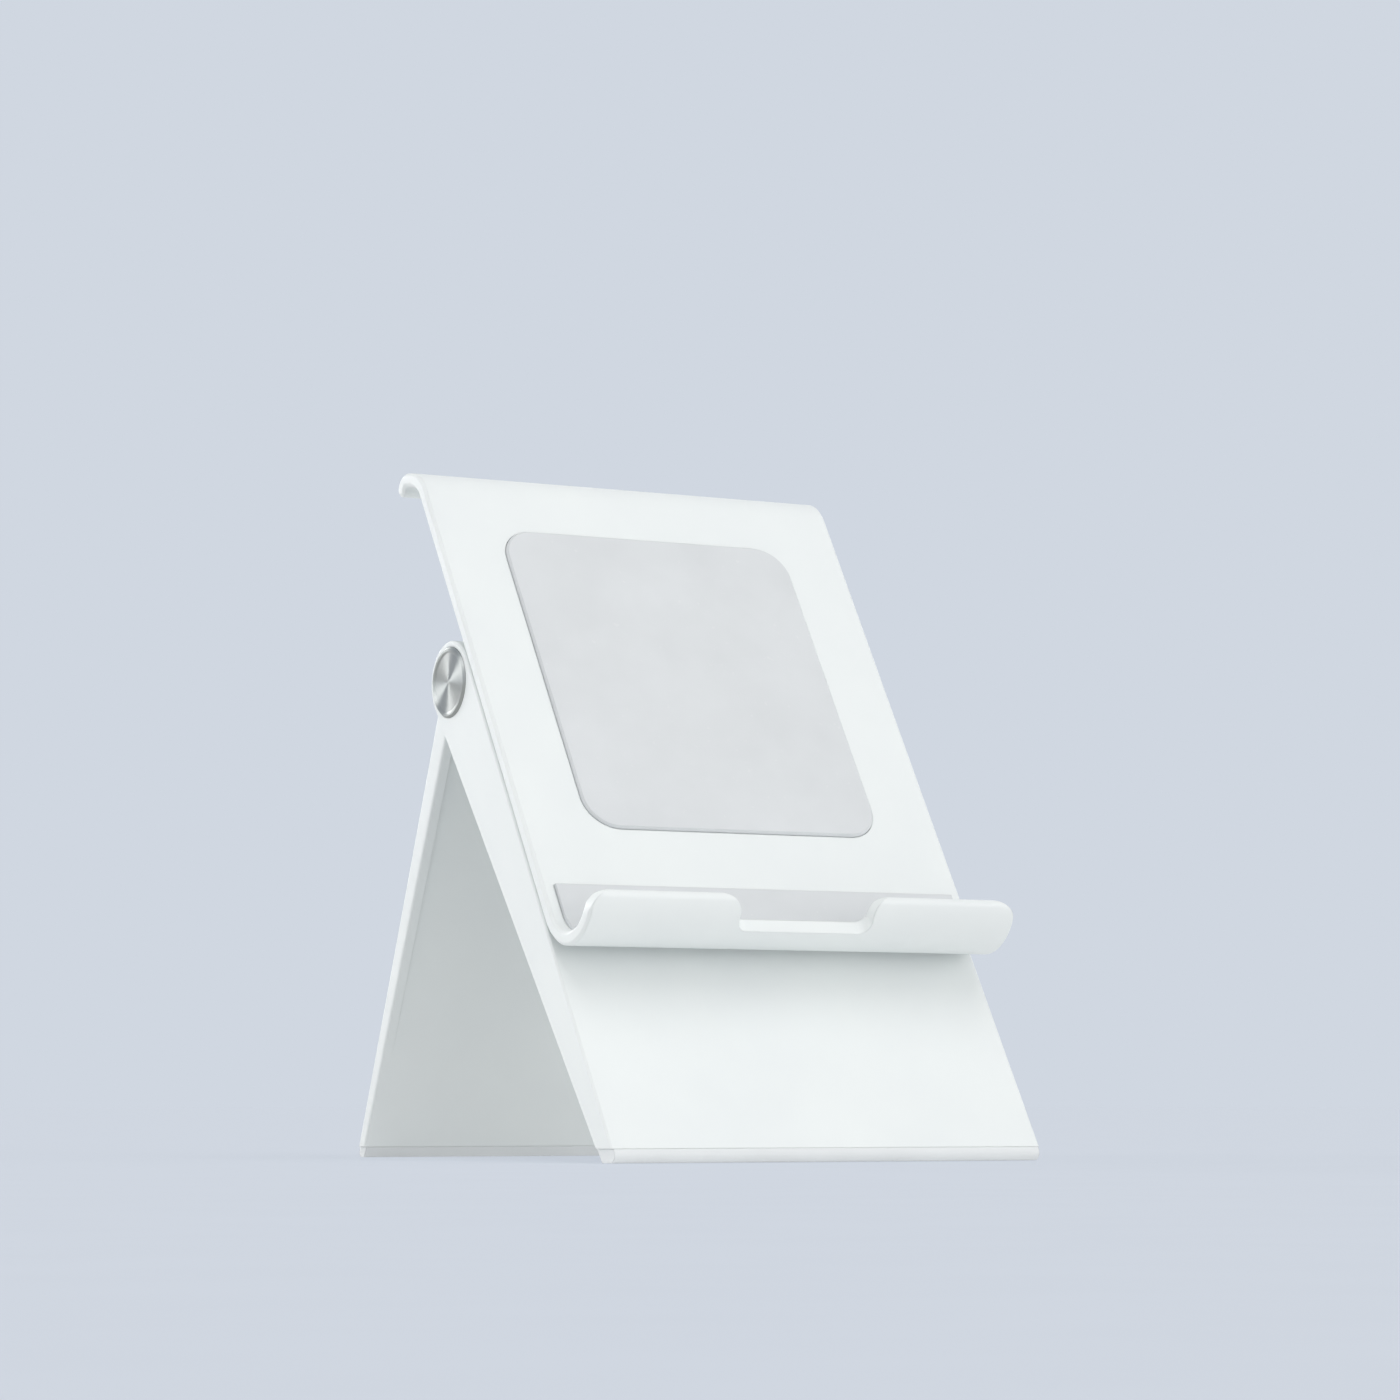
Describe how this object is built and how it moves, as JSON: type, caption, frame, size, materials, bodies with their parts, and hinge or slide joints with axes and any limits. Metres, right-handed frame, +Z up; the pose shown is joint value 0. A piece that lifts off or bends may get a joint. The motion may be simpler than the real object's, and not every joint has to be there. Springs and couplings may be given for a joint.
{
  "type": "folding device stand",
  "caption": "Folding desk stand: a leaning back plate with a round tray and a curled top slides on a channel leg, and a hinged rear leg folds into the channel.",
  "frame": {"origin": "middle of the stand on the desk surface, under the centre of its bounding box", "axes": "+Z up; the tray's open side and the finger lips face -Y; +X is to the right seen from the front"},
  "size_m": [0.0808, 0.0966, 0.1169],
  "materials": {
    "white_plastic": "satin moulded plastic, white",
    "silicone": "matte silicone, light grey",
    "spun_aluminium": "turned face with fine circular lines",
    "steel": "plain",
    "bearing_plastic": "plain"
  },
  "bodies": {
    "front": {"front_leg": "white_plastic", "front_foot_strip": "silicone", "hinge_axle": "steel", "hinge_nut_left": "steel", "hinge_nut_right": "steel", "disc_spring_left": "steel", "disc_spring_right": "steel", "hinge_cap_left": "spun_aluminium", "hinge_cap_right": "spun_aluminium"},
    "rear": {"rear_leg": "white_plastic", "rear_foot_strip": "silicone", "hinge_bush_left": "bearing_plastic", "hinge_bush_right": "bearing_plastic", "friction_washer_left": "bearing_plastic", "friction_washer_right": "bearing_plastic"},
    "holder": {"holder": "white_plastic", "back_pad": "silicone", "tray_pad": "silicone", "slide_retainer": "bearing_plastic", "slide_leaf_spring": "steel", "retainer_screws": "steel"}
  },
  "joints": [
    {"name": "rear_leg_hinge", "type": "hinge", "parent": "front", "child": "rear", "pos_m": [0, 0.00856, 0.0794], "axis": [1, 0, 0], "range_deg": [-60, 35]},
    {"name": "holder_slide", "type": "slide", "parent": "front", "child": "holder", "axis": [0, 0.5299, 0.848], "range_m": [-0.028, 0]}
  ]
}
